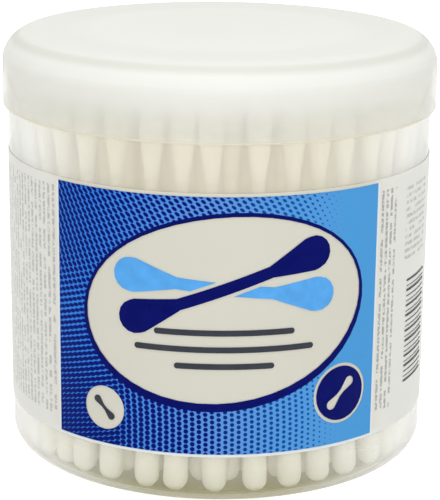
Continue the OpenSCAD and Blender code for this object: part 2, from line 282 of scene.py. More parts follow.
# %% Tub
DIMPLE_R, DIMPLE_Z, UNDER_Z = 3.5, 0.7, 0.4
FOOT_INNER_R, FOOT_R, FOOT_CORNER = 36.1, 37.7, 3.8
TUB_R, MOUTH_R, NECK_R, SNAP_R = 41.5, 40.5, 41.1, 41.4
FLOOR, NECK_Z, SNAP_Z, RIM_Z = 1.4, 69.5, 73.3, 79.5
NECK_STEP, SNAP_HALF, SNAP_FLAT = 0.4, 0.45, 0.13
INNER_CORNER, RIM_OUT, RIM_IN = 2, 0.25, 0.2
WALL_RINGS = (20, 45)

tub = turn(
    "clear_tub",
    [(0, DIMPLE_Z), (DIMPLE_R, DIMPLE_Z), (DIMPLE_R, UNDER_Z)]
    + [(FOOT_INNER_R - UNDER_Z, UNDER_Z), (FOOT_INNER_R, 0)]
    + arc(FOOT_R, FOOT_CORNER, FOOT_CORNER, -90, 0, 14)
    + [(TUB_R, z) for z in WALL_RINGS]
    + [(TUB_R, NECK_Z - NECK_STEP), (NECK_R, NECK_Z)]
    + [(NECK_R, SNAP_Z - SNAP_HALF), (SNAP_R, SNAP_Z - SNAP_FLAT)]
    + [(SNAP_R, SNAP_Z + SNAP_FLAT), (NECK_R, SNAP_Z + SNAP_HALF)]
    + arc(NECK_R - RIM_OUT, RIM_Z - RIM_OUT, RIM_OUT, 0, 90, 4)
    + arc(MOUTH_R + RIM_IN, RIM_Z - RIM_IN, RIM_IN, 90, 180, 4)
    + [(MOUTH_R, z) for z in reversed(WALL_RINGS)]
    + arc(MOUTH_R - INNER_CORNER, FLOOR + INNER_CORNER, INNER_CORNER, 0, -90, 10)
    + [(0, FLOOR)],
)
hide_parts("tub")
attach(tub, "tub")

# %% [markdown]
# ## Lid
#
# The lid slips over the neck and snaps under its ring. Its outline goes the other way
# round: from the middle of its flat top over the round corner and down the skirt,
# then up inside past the snap bead and the sealing rib. Thickening one plain sheet
# would be quicker, but would leave out bead and rib, which show when the lid is off.
# The inner corner starts at the rib, so its arc begins part of the way round.

# %% Lid
LID_R, SKIRT_R, LID_TOP, LID_LOW = 42.5, 41.65, 82.8, 68.7
LID_CORNER, LID_THICK, LID_RING = 6, 1, 73
HEM_OUT, HEM_IN, SEAT_LEAD = 0.25, 0.15, 1.2
BEAD_R = 41.5
BEAD = [(SKIRT_R, 71.9), (BEAD_R, 72.18), (BEAD_R, 72.42), (SKIRT_R, 72.7)]
SEAT_R, RIB_OUT_R, RIB_IN_R, RIB_LOW = 41.21, 40.2, 39.4, 77.9
RIB_ANGLE = 54.55

lid = turn(
    "milky_lid",
    [(0, LID_TOP)]
    + arc(LID_R - LID_CORNER, LID_TOP - LID_CORNER, LID_CORNER, 90, 0, 20)
    + [(LID_R, LID_RING)]
    + arc(LID_R - HEM_OUT, LID_LOW + HEM_OUT, HEM_OUT, 0, -90, 4)
    + arc(SKIRT_R + HEM_IN, LID_LOW + HEM_IN, HEM_IN, -90, -180, 3)
    + BEAD
    + [(SKIRT_R, RIM_Z - SEAT_LEAD), (SEAT_R, RIM_Z), (RIB_OUT_R, RIM_Z)]
    + [(RIB_OUT_R, RIB_LOW), (RIB_IN_R, RIB_LOW)]
    + arc(
        LID_R - LID_CORNER,
        LID_TOP - LID_CORNER,
        LID_CORNER - LID_THICK,
        RIB_ANGLE,
        90,
        8,
    )
    + [(0, LID_TOP - LID_THICK)],
)
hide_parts("lid")
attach(lid, "lid")

# %% [markdown]
# ## From patterns to materials
#
# A finish changes over its surface: by height, by distance from the axis, by the
# angle it is seen at. Painted masks could do that, but they need a UV map. Here each
# measure runs through a ramp to a share, and the share blends two tints or two
# shaders. The helpers for it follow, and the next cells use them for every piece.

# %% Ramps and tints
def ramp(tree, value, low, high, to_low=0.0, to_high=1.0, smooth=False):
    """value carried from the range low..high to another range, and held there."""
    node = put(
        tree,
        "ShaderNodeMapRange",
        {0: value, 1: low, 2: high, 3: to_low, 4: to_high},
        interpolation_type="SMOOTHSTEP" if smooth else "LINEAR",
    )
    return node.outputs[0]


def colour(red, green, blue):
    """A screen colour, 0 to 255 a channel, as the linear colour that shaders use."""
    linear = [
        v / 12.92 if v <= 0.04045 else ((v + 0.055) / 1.055) ** 2.4
        for v in (red / 255, green / 255, blue / 255)
    ]
    return (*linear, 1.0)


def blend_colours(tree, share, first, second):
    node = put(
        tree, "ShaderNodeMix", {0: share, 6: first, 7: second}, data_type="RGBA"
    )
    return node.outputs[2]


# %% Materials
def material(name):
    made = bpy.data.materials.new(name)
    made.use_nodes = True
    made.node_tree.nodes.clear()
    return made, made.node_tree


def place(tree, group, values=None):
    """Uses a shared group in a material, with some of its values set."""
    node = put(tree, "ShaderNodeGroup", node_tree=group)
    return fill(tree, node, values or {}).outputs


def mix(tree, share, first, second):
    """Two shaders, the second one for a share of the light."""
    return put(tree, "ShaderNodeMixShader", {0: share, 1: first, 2: second}).outputs[0]


def show(tree, shader):
    put(tree, "ShaderNodeOutputMaterial", {"Surface": shader})


# %% [markdown]
# ## Clear plastic
#
# Thin clear plastic bends light very little, so it needs no glass shader, which would
# be slow and noisy with two hundred swabs behind it. It is drawn as a see-through
# film that mirrors more at a flat angle, with a pale haze over it.
#
# The haze is there for the eye alone: light on its way to the cotton passes the wall
# unhindered. It is densest where the wall is seen edge-on and in the thick foot,
# where it turns olive. Edge-on is measured with the level direction away from the
# axis, because the rounded foot's own normal would make it look pale from above.

# %% Clear plastic: tint of the haze
CLEAR = colour(252, 252, 249)
FOOT_HAZE, WALL_HAZE = colour(166, 161, 118), colour(226, 219, 199)
SIDE_HAZE, EDGE_HAZE = colour(255, 255, 252), colour(236, 235, 226)

clear_plastic, tree = material("clear plastic")
spot = place(tree, tub_place)
facing = put(
    tree, "ShaderNodeLayerWeight", {"Blend": 0.5, "Normal": spot["Outward"]}
).outputs["Facing"]
tint = blend_colours(tree, ramp(tree, spot["Height"], 2.4, 7.5), FOOT_HAZE, WALL_HAZE)
tint = blend_colours(tree, ramp(tree, facing, 0.14, 0.6), tint, SIDE_HAZE)
tint = blend_colours(tree, ramp(tree, facing, 0.62, 0.92), tint, EDGE_HAZE)
print("tint of the haze:", len(tree.nodes), "nodes")

# %% Clear plastic: amount of the haze
wall_share = sums(
    tree,
    "MINIMUM",
    ramp(tree, spot["Height"], 4.0, 60.0, 0.27, 0.5),
    ramp(tree, spot["Height"], 68.0, 76.0, 0.5, 0.15),
)
foot_share = ramp(tree, spot["Height"], 0.8, 5.0, 0.75, 0.0)
side_share = ramp(tree, facing, 0.18, 0.9, 0.06, 0.64, smooth=True)
hazy_share = sums(
    tree, "MAXIMUM", side_share, sums(tree, "MAXIMUM", wall_share, foot_share)
)
print("with its amount:", len(tree.nodes), "nodes")

# %% Clear plastic: film, haze and mirror
finish = place(
    tree, handled, {"Scale": 60.0, "Roughness": 0.06, "Spread": 0.05, "Wave": 0.01}
)
film = put(tree, "ShaderNodeBsdfTransparent", {"Color": CLEAR}).outputs[0]
haze = put(
    tree,
    "ShaderNodeBsdfPrincipled",
    {"Base Color": tint, "Roughness": 0.45, "Specular IOR Level": 0.2},
).outputs[0]
mirror = put(
    tree,
    "ShaderNodeBsdfGlossy",
    {"Roughness": finish["Roughness"], "Normal": finish["Normal"]},
).outputs[0]
glint = put(
    tree, "ShaderNodeFresnel", {"IOR": 1.4, "Normal": finish["Normal"]}
).outputs[0]
inside = put(tree, "ShaderNodeNewGeometry").outputs["Backfacing"]
to_camera = put(tree, "ShaderNodeLightPath").outputs["Is Camera Ray"]
outside = product(tree, to_camera, sums(tree, "SUBTRACT", 1.0, inside))
hazy = mix(tree, product(tree, hazy_share, to_camera), film, haze)
show(tree, mix(tree, product(tree, glint, outside), hazy, mirror))
tub.data.materials.append(clear_plastic)
print(clear_plastic.name, "has", len(tree.nodes), "nodes")

# %% [markdown]
# ## Milky plastic
#
# The lid lets light in but blurs what is behind it. Real scattering inside a wall of
# one millimetre is slow to render. A mix of a matt, a translucent and a clear share
# looks the same. The clear share grows down the thin skirt, where the cotton heads
# begin to show, and the thick corner hides the rim of the tub.
#
# The top is a slightly greyer panel, with painted shade in a ring inside its edge and
# a thin line of painted shade round that edge. The skirt's lower hem is a thin cream
# line: more milk at the wall's edge, and a painted highlight along it.

# %% Milky plastic: tint
SIDE_TINT, CORNER_TINT = colour(252, 252, 251), colour(244, 245, 241)
# The ring and crease tints are painted shade on the top; the hem tint is a painted
# highlight
TOP_TINT, RING_SHADE_TINT = colour(241, 242, 238), colour(237, 238, 234)
CREASE_SHADE_TINT, HEM_HIGHLIGHT_TINT = colour(226, 227, 221), colour(238, 232, 216)

milky_plastic, tree = material("milky plastic")
spot = place(tree, tub_place)
panel = ramp(tree, spot["Radius"], 40.1, 40.4, 1.0, 0.0, smooth=True)
# painted shade in a ring inside the panel's edge
ring_shade = ramp(tree, spot["Radius"], 24.0, 31.0, smooth=True)
corner = ramp(tree, spot["Height"], 75.0, 78.5)
# painted shade in a thin line round the panel's edge
crease_shade = product(
    tree,
    ramp(tree, spot["Radius"], 38.7, 39.7, smooth=True),
    ramp(tree, spot["Radius"], 40.1, 41.4, 1.0, 0.0, smooth=True),
)
# a thin line along the hem: more milk at the wall's edge, with a painted highlight in
# its tint
hem_highlight = ramp(tree, spot["Height"], 69.15, 68.9)
side_tint = blend_colours(tree, corner, SIDE_TINT, CORNER_TINT)
panel_tint_with_shade = blend_colours(tree, ring_shade, TOP_TINT, RING_SHADE_TINT)
tint = blend_colours(tree, panel, side_tint, panel_tint_with_shade)
tint = blend_colours(tree, crease_shade, tint, CREASE_SHADE_TINT)
tint = blend_colours(tree, hem_highlight, tint, HEM_HIGHLIGHT_TINT)
print("tint of the milk:", len(tree.nodes), "nodes")

# %% Milky plastic: how much of it is milk
depth = ramp(tree, spot["Height"], 68.5, 78.8)
skirt_share = sums(tree, "MULTIPLY_ADD", product(tree, depth, depth), 0.7, 0.25)
facing = put(tree, "ShaderNodeLayerWeight", {"Blend": 0.5}).outputs["Facing"]
inside = put(tree, "ShaderNodeNewGeometry").outputs["Backfacing"]
edge_share = product(
    tree,
    ramp(tree, facing, 0.45, 0.85, 0.0, 0.62, smooth=True),
    sums(tree, "SUBTRACT", 1.0, inside),
)
edge_share = sums(tree, "MAXIMUM", edge_share, product(tree, hem_highlight, 0.75))
share = sums(tree, "MAXIMUM", skirt_share, edge_share)
to_camera = put(tree, "ShaderNodeLightPath").outputs["Is Camera Ray"]
light_share = ramp(tree, to_camera, 0.0, 1.0, 0.5, 1.0)
print("with its share:", len(tree.nodes), "nodes")


# %% Milky plastic: the mix
def skin(tree, tint, finish, gloss):
    """A solid surface in a tint, with the roughness and wave of handled plastic."""
    return put(
        tree,
        "ShaderNodeBsdfPrincipled",
        {
            "Base Color": tint,
            "Roughness": finish["Roughness"],
            "Normal": finish["Normal"],
            "Specular IOR Level": gloss,
        },
    ).outputs[0]


finish = place(
    tree, handled, {"Scale": 45.0, "Roughness": 0.36, "Spread": 0.06, "Wave": 0.03}
)
milk = skin(tree, tint, finish, gloss=0.25)
glow = put(tree, "ShaderNodeBsdfTranslucent", {"Color": tint}).outputs[0]
shell = mix(tree, 0.3, milk, glow)
clear = put(
    tree, "ShaderNodeBsdfTransparent", {"Color": colour(251, 251, 249)}
).outputs[0]
show(tree, mix(tree, product(tree, share, light_share), clear, shell))
lid.data.materials.append(milky_plastic)
print(milky_plastic.name, "has", len(tree.nodes), "nodes")

# %% [markdown]
# ## Blue print
#
# The panel runs from deep blue at the left to sky blue at the right, under a halftone
# of navy dots. A real halftone is a raster on a printing plate. Cutting thousands of
# dots as meshes would be heavy, so a node group works out, for any point of the wall,
# how far it is from the middle of its own dot.
#
# The dots stand in staggered columns that lean more and more towards the top. They
# are larger to the left and low down, and fade out to the right, where their ink is
# paler. At the lower left they are drawn out until they merge into slanting bands.
# The three fields of the panel share the group, so dots and shades run on across the
# joints between them.

# %% Halftone: the group and its inputs
halftone, taken, out = effect(
    "halftone print",
    {
        "Column step": 1.22,
        "Row step": 0.98,
        "Fan": 0.0066,
        "Middle size": 0.4,
        "Growth": 0.004,
        "Ink": colour(0, 18, 106),
        "Pale ink": colour(6, 84, 158),
        "Left": colour(50, 126, 222),
        "Middle": colour(90, 143, 216),
        "Right": colour(75, 152, 213),
    },
    {"Colour": "NodeSocketColor", "Dots": "NodeSocketFloat"},
)
# The label film's outer side and the ink's, in mm from the axis
FILM_R, PRINT_R = 41.71, 41.79
MM_PER_DEGREE = PRINT_R * math.pi / 180
spot = place(halftone, tub_place)
across = product(halftone, spot["Angle"], MM_PER_DEGREE)
print("wall in a degree:", round(MM_PER_DEGREE, 3), "mm")

# %% Halftone: columns and rows
# Height in mm from which the columns lean
FAN_FROM = 14.0
# So far left of the middle, in mm, the rows start to climb by a share of the way
CLIMB_FROM, CLIMB = 15.0, 0.14
# An even number that keeps the count of columns above zero
COUNT_FROM = 1000.0

raised = sums(halftone, "SUBTRACT", spot["Height"], FAN_FROM)
raised = sums(halftone, "MAXIMUM", raised, 0.0)
lean = product(halftone, raised, raised, taken["Fan"])
column = sums(
    halftone, "DIVIDE", sums(halftone, "ADD", across, lean), taken["Column step"]
)
number = sums(halftone, "FLOOR", sums(halftone, "ADD", column, COUNT_FROM))
stagger = product(halftone, sums(halftone, "MODULO", number, 2.0), 0.5)
left_of = sums(halftone, "ADD", across, CLIMB_FROM)
left_of = sums(halftone, "MINIMUM", left_of, 0.0)
levelled = sums(halftone, "MULTIPLY_ADD", left_of, CLIMB, spot["Height"])
row = sums(halftone, "DIVIDE", levelled, taken["Row step"])
row = sums(halftone, "ADD", row, stagger)
print("columns and rows:", len(halftone.nodes), "nodes")


# %% Halftone: distance from the dot's middle
def from_middle(cell, step):
    share = sums(halftone, "SUBTRACT", sums(halftone, "FRACT", cell), 0.5)
    return product(halftone, share, step)


# Cosine and sine of the way the dots are drawn out, and how far they are
DRAWN_COS, DRAWN_SIN, DRAWN_OUT = 0.93, 0.37, -0.55

aside = from_middle(column, taken["Column step"])
above = from_middle(row, taken["Row step"])
merge = product(
    halftone,
    ramp(halftone, across, -15.0, -22.0, smooth=True),
    ramp(halftone, spot["Height"], 48.0, 36.0, smooth=True),
)
onward = product(halftone, above, DRAWN_SIN)
onward = sums(halftone, "MULTIPLY_ADD", aside, DRAWN_COS, onward)
sideways = product(halftone, aside, -DRAWN_SIN)
sideways = sums(halftone, "MULTIPLY_ADD", above, DRAWN_COS, sideways)
drawn_out = sums(halftone, "MULTIPLY_ADD", merge, DRAWN_OUT, 1.0)
onward = product(halftone, onward, drawn_out)
squares = [product(halftone, v, v) for v in (onward, sideways)]
from_dot = sums(halftone, "SQRT", sums(halftone, "ADD", *squares))

# %% Halftone: size of the dots
# Half the width of a dot's soft edge, in mm
SOFT_EDGE = 0.06

growth = product(halftone, across, taken["Growth"])
size = sums(halftone, "SUBTRACT", taken["Middle size"], growth)
fuller = product(
    halftone,
    ramp(halftone, across, 6.0, -10.0, smooth=True),
    ramp(halftone, spot["Height"], 36.0, 18.0, 0.0, 0.05),
)
size = sums(halftone, "ADD", size, fuller)
thinner = ramp(halftone, spot["Height"], 13.0, 36.0, -0.15, -0.36)
thinner = sums(halftone, "MULTIPLY_ADD", merge, thinner, 1.0)
fade = ramp(halftone, across, 14.0, 27.0, 1.0, 0.0, smooth=True)
size = product(halftone, size, thinner, fade)
reach = sums(halftone, "SUBTRACT", size, from_dot)
dots = ramp(halftone, reach, -SOFT_EDGE, SOFT_EDGE)

# %% Halftone: ground and ink
left_half = blend_colours(
    halftone, ramp(halftone, across, -24.0, 2.0), taken["Left"], taken["Middle"]
)
ground = blend_colours(
    halftone, ramp(halftone, across, 0.0, 26.0), left_half, taken["Right"]
)
ink = blend_colours(
    halftone, ramp(halftone, across, -2.0, 16.0), taken["Ink"], taken["Pale ink"]
)
printed = blend_colours(halftone, dots, ground, ink)
halftone.links.new(printed, out.inputs["Colour"])
halftone.links.new(dots, out.inputs["Dots"])
print("shared group:", halftone.name, "with", len(halftone.nodes), "nodes")

# %% [markdown]
# ## Inks
#
# Printing ink is a thin, nearly matt coat that is never quite even. One flat colour
# would do for so small a print, but looks like cut paper. So each plain ink clouds
# over to a slightly lighter shade of itself, and the panel takes its colour from the
# halftone. The CAD nodes keep their meshes, and only their material slots are filled.

# %% Inks
INK_GLOSS = 0.04


def ink_material(name, paint=None, roughness=0.28):
    """Ink on film: one slightly uneven colour, or the halftone where paint is None."""
    made, tree = material(name)
    finish = place(
        tree,
        handled,
        {"Scale": 120.0, "Roughness": roughness, "Spread": 0.05, "Wave": 0.02},
    )
    if paint is None:
        tint = place(tree, halftone)["Colour"]
    else:
        cloud = ramp(tree, noise(tree, 400.0, Detail=3.0), 0.35, 0.75)
        lighter = tuple(min(1.0, v * 1.2 + 0.001) for v in paint[:3]) + (1.0,)
        tint = blend_colours(tree, cloud, paint, lighter)
    show(tree, skin(tree, tint, finish, INK_GLOSS))
    return made


def dress(made, *nodes):
    """Gives CAD nodes a material."""
    for node in nodes:
        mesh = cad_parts[node].data
        mesh.materials.clear()
        mesh.materials.append(made)
    print(made.name, "is on", ", ".join(nodes))


panel_print = ink_material("halftone panel")
navy = ink_material("navy ink", colour(2, 10, 92))
sky = ink_material("sky ink", colour(84, 158, 222))
grey = ink_material("grey ink", colour(58, 60, 68))
dress(panel_print, "panel_deep", "panel_mid", "panel_sky")
dress(navy, "oval_ring", "badge_dark", "sign_dark")
dress(sky, "sign_light")
dress(grey, "badge_mark", "sign_bars")

# %% [markdown]
# ## Stripes on the side
#
# A stack of plain stripes of a few widths lies across the wall, at the right of the
# panel. They could be part of the film's own pattern. As they stand apart from it in
# colour and are seen close by, each is a thin curved patch of ink on the film.

# %% Stripes on the side
STRIPES_LOW, STRIPES_HIGH, STRIPE_STEP = 17.4, 38.9, 1.02
STRIPES_FROM, STRIPES_TO, STRIPE_POINTS = 44.0, 54.4, 9
STRIPE_WIDTHS = (0.36, 0.1, 0.14, 0.42, 0.08)


def ink_patch(bm, angles, low, high):
    """A curved patch of ink between two heights in mm, over angles in degrees."""
    outline = ((FILM_R, low), (PRINT_R, low), (PRINT_R, high), (FILM_R, high))
    corners = []
    for a in map(math.radians, angles):
        corners.append(
            [
                bm.verts.new((r * math.sin(a) * MM, -r * math.cos(a) * MM, z * MM))
                for r, z in outline
            ]
        )
    for first, second in zip(corners, corners[1:]):
        for i in range(4):
            j = (i + 1) % 4
            bm.faces.new((first[i], second[i], second[j], first[j]))
    bm.faces.new(corners[0])
    bm.faces.new(corners[-1][::-1])


bm = bmesh.new()
count = round((STRIPES_HIGH - STRIPES_LOW) / STRIPE_STEP)
angles = np.degrees(np.linspace(STRIPES_FROM, STRIPES_TO, STRIPE_POINTS) / PRINT_R)
for i in range(count):
    low = STRIPES_LOW + i * STRIPE_STEP
    ink_patch(bm, angles, low, low + STRIPE_WIDTHS[i % len(STRIPE_WIDTHS)])
bmesh.ops.recalc_face_normals(bm, faces=bm.faces)
stripes_mesh = bpy.data.meshes.new("side_stripes_across")
bm.to_mesh(stripes_mesh)
bm.free()
stripes = new_object("side_stripes_across", stripes_mesh)
stripes_mesh.materials.append(grey)
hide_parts("side_stripes")
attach(stripes, "tub")
print(count, "stripes")

# %% [markdown]
# ## Label film
#
# The film is white, and its sides carry lines of small grey print. Drawing each mark
# would take thousands of faces for something a millimetre high. So a node group
# breaks up plain lines instead: one fine noise makes strokes, and one coarse noise
# leaves gaps between groups of them. A block of lines can run up the wall or round
# it, depending on which measure is put in as across and which as along.

# %% Lines of small print: one line
small_print, taken, out = effect(
    "lines of small print",
    {
        "Across": 0.0, "Along": 0.0, "First": 0.0, "Last": 1.0,
        "Start": 0.0, "End": 1.0, "Pitch": 2.2, "Weight": 0.5,
    },
    {"Ink": "NodeSocketFloat"},
)
line = sums(small_print, "SUBTRACT", taken["Across"], taken["First"])
line = sums(small_print, "DIVIDE", line, taken["Pitch"])
number = sums(small_print, "FLOOR", line)
off_middle = sums(small_print, "SUBTRACT", sums(small_print, "FRACT", line), 0.5)
off_middle = sums(small_print, "ABSOLUTE", off_middle)
body_of_line = ramp(small_print, off_middle, 0.2, 0.3, 1.0, 0.0)

# %% Lines of small print: strokes and gaps
# How far the noise moves on for each mm, and for each line
STROKE_ACROSS, STROKE_ALONG, STROKE_JUMP = 1.4, 1.9, 7.3
GAP_ALONG, GAP_JUMP = 0.4, 3.1


def marks(detail, **steps):
    """Noise over (across, along, number of the line), each times its own step."""
    values = {"x": taken["Across"], "y": taken["Along"], "z": number}
    sockets = {
        "xyz".index(axis): product(small_print, values[axis], step)
        for axis, step in steps.items()
    }
    where = put(small_print, "ShaderNodeCombineXYZ", sockets).outputs[0]
    return put(
        small_print,
        "ShaderNodeTexNoise",
        {"Vector": where, "Scale": 1.0, "Detail": detail},
    ).outputs["Fac"]


strokes = marks(1.0, x=STROKE_ACROSS, y=STROKE_ALONG, z=STROKE_JUMP)
gaps = marks(0.0, y=GAP_ALONG, z=GAP_JUMP)
strokes = product(
    small_print,
    ramp(small_print, strokes, 0.38, 0.52),
    ramp(small_print, gaps, 0.34, 0.38),
)


# %% Lines of small print: the block's ends
def between(value, low, high):
    return product(
        small_print,
        sums(small_print, "GREATER_THAN", value, low),
        sums(small_print, "LESS_THAN", value, high),
    )


block = product(
    small_print,
    between(taken["Across"], taken["First"], taken["Last"]),
    between(taken["Along"], taken["Start"], taken["End"]),
)
inked = product(small_print, strokes, body_of_line, block, taken["Weight"])
small_print.links.new(inked, out.inputs["Ink"])
print("shared group:", small_print.name)

# %% Label film: its blocks of lines
label_film, tree = material("label film")
spot = place(tree, tub_place)
run = product(tree, spot["Angle"], MM_PER_DEGREE)
height = spot["Height"]
keys = ("Across", "Along", "First", "Last", "Start", "End", "Pitch", "Weight")
blocks = [
    (run, height, -58.6, -33.6, 13.0, 58.0, 1.47, 0.48),
    (run, height, 33.6, 39.1, 14.0, 57.5, 1.37, 0.65),
    (height, run, 42.0, 57.0, 42.6, 54.0, 1.36, 0.5),
]
ink = None
for values in blocks:
    made = place(tree, small_print, dict(zip(keys, values)))["Ink"]
    ink = made if ink is None else sums(tree, "MAXIMUM", ink, made)
print("blocks of small print:", len(blocks))

# %% [markdown]
# ## Film white and its border
#
# The film is a little darker and warmer at the front than at its sides. A bright line
# runs along its lower edge and up both sides of the panel, where no ink lies beside
# the blue. Strips of mesh could stand there, but lines half a millimetre wide are
# simpler as two more ramps, and they can't come loose from the film.

# %% Label film: white and border
FRONT_WHITE, SIDE_WHITE = colour(223, 221, 207), colour(240, 240, 234)
BORDER_WHITE, SMALL_INK = colour(240, 244, 244), colour(110, 111, 112)
# The middle of the bright line beside the panel, in mm round the wall
BORDER_MIDDLE = 32.85

from_front = sums(tree, "ABSOLUTE", spot["Angle"])
white = blend_colours(
    tree, ramp(tree, from_front, 38.0, 50.0), FRONT_WHITE, SIDE_WHITE
)
low_edge = product(
    tree,
    ramp(tree, height, 10.9, 10.7),
    ramp(tree, from_front, 50.0, 44.0),
)
from_line = sums(tree, "SUBTRACT", sums(tree, "ABSOLUTE", run), BORDER_MIDDLE)
side_edge = product(
    tree,
    ramp(tree, sums(tree, "ABSOLUTE", from_line), 0.55, 0.35),
    ramp(tree, height, 59.2, 59.0),
)
border = sums(tree, "MAXIMUM", low_edge, side_edge)
white = blend_colours(tree, border, white, BORDER_WHITE)
paper = blend_colours(tree, ink, white, SMALL_INK)
print("white, border and ink:", len(tree.nodes), "nodes")

# %% Label film: the mix
finish = place(
    tree, handled, {"Scale": 70.0, "Roughness": 0.34, "Spread": 0.06, "Wave": 0.03}
)
film = skin(tree, paper, finish, gloss=0.3)
shine = put(
    tree, "ShaderNodeBsdfTranslucent", {"Color": colour(245, 244, 238)}
).outputs[0]
show(tree, mix(tree, 0.2, film, shine))
dress(label_film, "label")

# %% [markdown]
# ## Swabs
#
# Two hundred swabs stand upright, each with a cotton tip at both ends. Modelling them
# one by one would be slow, and copies placed by rule would miss the small lean that
# each has in CAD. So the places are read from the CAD tips, one island of their mesh
# for each, and Geometry Nodes put a cotton tip on each place. The outermost ring,
# which is seen close by, gets a finer tip than the rest.

# %% Where each tip stands
SAME_POINT = 1e-6


def tip_places(node, towards):
    """Round end and direction to the stick of each tip of a CAD node, in metres."""
    bm = bmesh.new()
    bm.from_mesh(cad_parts[node].data)
    bmesh.ops.remove_doubles(bm, verts=bm.verts, dist=SAME_POINT)
    left, places = set(bm.verts), []
    while left:
        found = [left.pop()]
        for vert in found:
            for edge in vert.link_edges:
                other = edge.other_vert(vert)
                if other in left:
                    left.remove(other)
                    found.append(other)
        points = np.array([v.co for v in found])
        middle = points.mean(axis=0)
        axis = np.linalg.svd(points - middle, full_matrices=False)[2][0]
        axis = axis * np.sign(axis[2]) * towards
        places.append((middle + axis * ((points - middle) @ axis).min(), axis))
    bm.free()
    places.sort(key=lambda p: (round(p[0][0], 6), round(p[0][1], 6)))
    print(node, "holds", len(places), "tips")
    return places


lower_places = tip_places("lower_tips", 1)
upper_places = tip_places("upper_tips", -1)

# %% [markdown]
# ## One cotton tip
#
# A tip is wound cotton: round at its end, full along its middle, and drawn in to the
# stick in a soft curve. It could be sculpted once, but a formula for its half width
# gives any number of rings. So one outline, turned like the tub, makes both a fine
# tip and a plain one that stays light when it is repeated hundreds of times.

# %% The shape of one tip
TIP_R, TIP_L, STICK_R, TIP_NECK = 2.3, 15.0, 1.15, 1.25
# How far the tip's last ring stands off the stick, and how deep its end is drawn in
END_GAP, END_DEPTH = 0.02, 0.3


def tip_half(s):
    """Half the width of a tip at s mm from its round end."""
    if s < TIP_R:
        return math.sqrt(max(0.0, TIP_R**2 - (TIP_R - s) ** 2))
    t = (s - TIP_R) / (TIP_L - TIP_R)
    return TIP_NECK + (TIP_R - TIP_NECK) * (0.5 + 0.5 * math.cos(math.pi * t**1.5))


def tip_mesh(name, sides, dome, taper):
    """One tip on +Z, its round end at the origin, with rings on dome and taper."""
    steps = [TIP_R * (1 - math.cos(math.pi / 2 * i / dome)) for i in range(1, dome + 1)]
    steps += [TIP_R + (TIP_L - TIP_R) * (i / taper) for i in range(1, taper + 1)]
    outline = [(0, 0)] + [(tip_half(s), s) for s in steps]
    outline += [(STICK_R + END_GAP, TIP_L + END_GAP), (0, TIP_L - END_DEPTH)]
    made = turn(name, outline, steps=sides)
    bpy.context.scene.collection.objects.unlink(made)
    return made


fine_tip = tip_mesh("fine_tip", 24, 6, 14)
plain_tip = tip_mesh("plain_tip", 10, 3, 4)

# %% [markdown]
# ## Cotton
#
# Wound cotton has no gloss, scatters light a few millimetres deep, and shows fine
# fibres over larger wisps. Hair would give single fibres, which can't be seen at this
# size. Two noises in one bump and a slight change of white do.

# %% Cotton
cotton, tree = material("cotton")
fibres = noise(tree, 1500.0, Detail=6.0, Roughness=0.7, Distortion=0.6)
wisps = noise(tree, 420.0, Detail=3.0, Roughness=0.6)
fluff = sums(tree, "MULTIPLY_ADD", wisps, 1.5, fibres)
relief = put(
    tree,
    "ShaderNodeBump",
    {"Strength": 0.35, "Distance": 0.0003, "Height": fluff},
).outputs[0]
tint = blend_colours(
    tree, ramp(tree, wisps, 0.3, 0.7), colour(250, 246, 234), colour(253, 251, 243)
)
wound = put(
    tree,
    "ShaderNodeBsdfPrincipled",
    {
        "Base Color": tint,
        "Roughness": 0.95,
        "Specular IOR Level": 0.1,
        "Subsurface Weight": 0.8,
        "Subsurface Radius": (1.0, 0.92, 0.78),
        "Subsurface Scale": 3 * MM,
        "Normal": relief,
    },
).outputs[0]
show(tree, wound)
print(cotton.name, "has", len(tree.nodes), "nodes")

# %% [markdown]
# ## A tip on each place
#
# Real tips are all of one shape, but no two are wound alike. A loop could copy the
# tip to every place, and would then have to lump each copy by itself. A tree of
# Geometry Nodes does it for all at once. It takes points with a direction, puts a
# tip on each and turns it that way. Then it makes the copies real and pushes their
# points in and out with a noise through space, so no two tips have the same lumps.

# %% Geometry Nodes: inputs
standing = bpy.data.node_groups.new("tips on places", "GeometryNodeTree")
for name, kind in (
    ("Places", "NodeSocketGeometry"),
    ("Tip", "NodeSocketObject"),
    ("Lump size", "NodeSocketFloat"),
    ("Lump height", "NodeSocketFloat"),
    ("Cotton", "NodeSocketMaterial"),
):
    standing.interface.new_socket(name, in_out="INPUT", socket_type=kind)
standing.interface.new_socket(
    "Tips", in_out="OUTPUT", socket_type="NodeSocketGeometry"
)
given = put(standing, "NodeGroupInput").outputs


def step(kind, sockets=None, **settings):
    """One node of the tree, as its first output."""
    return put(standing, kind, sockets, **settings).outputs[0]


# %% Geometry Nodes: place and turn the tips
one_tip = put(standing, "GeometryNodeObjectInfo", {"Object": given["Tip"]})
direction = step(
    "GeometryNodeInputNamedAttribute", {0: "direction"}, data_type="FLOAT_VECTOR"
)
aim = step("FunctionNodeAlignRotationToVector", {"Vector": direction}, axis="Z")
placed = step(
    "GeometryNodeInstanceOnPoints",
    {
        "Points": given["Places"],
        "Instance": one_tip.outputs["Geometry"],
        "Rotation": aim,
    },
)
solid = step("GeometryNodeRealizeInstances", {0: placed})
print("tips on their places:", len(standing.nodes), "nodes")

